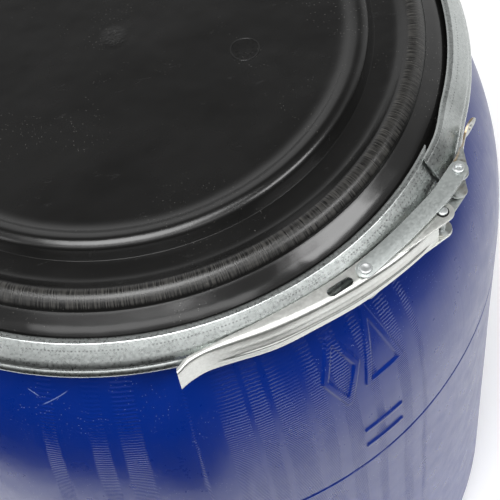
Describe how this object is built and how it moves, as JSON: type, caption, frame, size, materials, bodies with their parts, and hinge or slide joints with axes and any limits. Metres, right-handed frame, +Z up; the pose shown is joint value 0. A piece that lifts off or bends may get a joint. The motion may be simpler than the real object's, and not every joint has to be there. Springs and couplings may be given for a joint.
{
  "type": "open-top plastic drum with clamp ring lid",
  "caption": "Blue blow-moulded plastic drum with a bulged shoulder, a black moulded lid and a galvanised steel clamp ring closed by an over-centre lever.",
  "frame": {"origin": "middle of the base, on the floor", "axes": "+Z up along the drum's axis; +X to the right of the closure as the picture sees it; -Y towards the viewer, with the lever's tip near -Y"},
  "size_m": [0.466, 0.466, 0.5349],
  "materials": {
    "blue_plastic": "blow-moulded polyethylene, glossy, with fine ripples",
    "black_plastic": "injection-moulded polyethylene, satin with light scuffs",
    "gasket_rubber": "foamed sealing ring",
    "ring_steel": "roll-formed galvanised strip, mottled spangle",
    "bracket_steel": "pressed galvanised strip",
    "lever_steel": "pressed galvanised strip with long beads",
    "rivet_steel": "zinc-plated tubular rivet"
  },
  "bodies": {
    "drum": {"drum_body": "blue_plastic", "lid": "black_plastic", "lid_gasket": "gasket_rubber", "clamp_ring_left": "ring_steel", "lever_bracket": "bracket_steel", "rivet_lever_pivot": "rivet_steel"},
    "ring_right": {"clamp_ring_right": "ring_steel", "latch_bracket": "bracket_steel"},
    "lever": {"lever": "lever_steel", "rivet_link_lever": "rivet_steel"},
    "link": {"link_upper": "bracket_steel", "link_lower": "bracket_steel", "rivet_latch_upper": "rivet_steel", "rivet_latch_lower": "rivet_steel"}
  },
  "joints": [
    {"name": "lever_open", "type": "hinge", "parent": "drum", "child": "lever", "pos_m": [0.14378, -0.16954, 0.506], "axis": [0, 0, 1], "range_deg": [0, 150]},
    {"name": "link_swing", "type": "hinge", "parent": "lever", "child": "link", "pos_m": [0.09326, -0.19206, 0.506], "axis": [0, 0, -1], "range_deg": [0, 99.5]},
    {"name": "ring_open", "type": "hinge", "parent": "drum", "child": "ring_right", "pos_m": [-0.13479, 0.16064, 0.506], "axis": [0, 0, 1], "range_deg": [0, 9.43]}
  ],
  "couplings": [
    {"joint": "link_swing", "follows": "lever_open", "ratio": 0.66323},
    {"joint": "ring_open", "follows": "lever_open", "ratio": 0.0628}
  ]
}
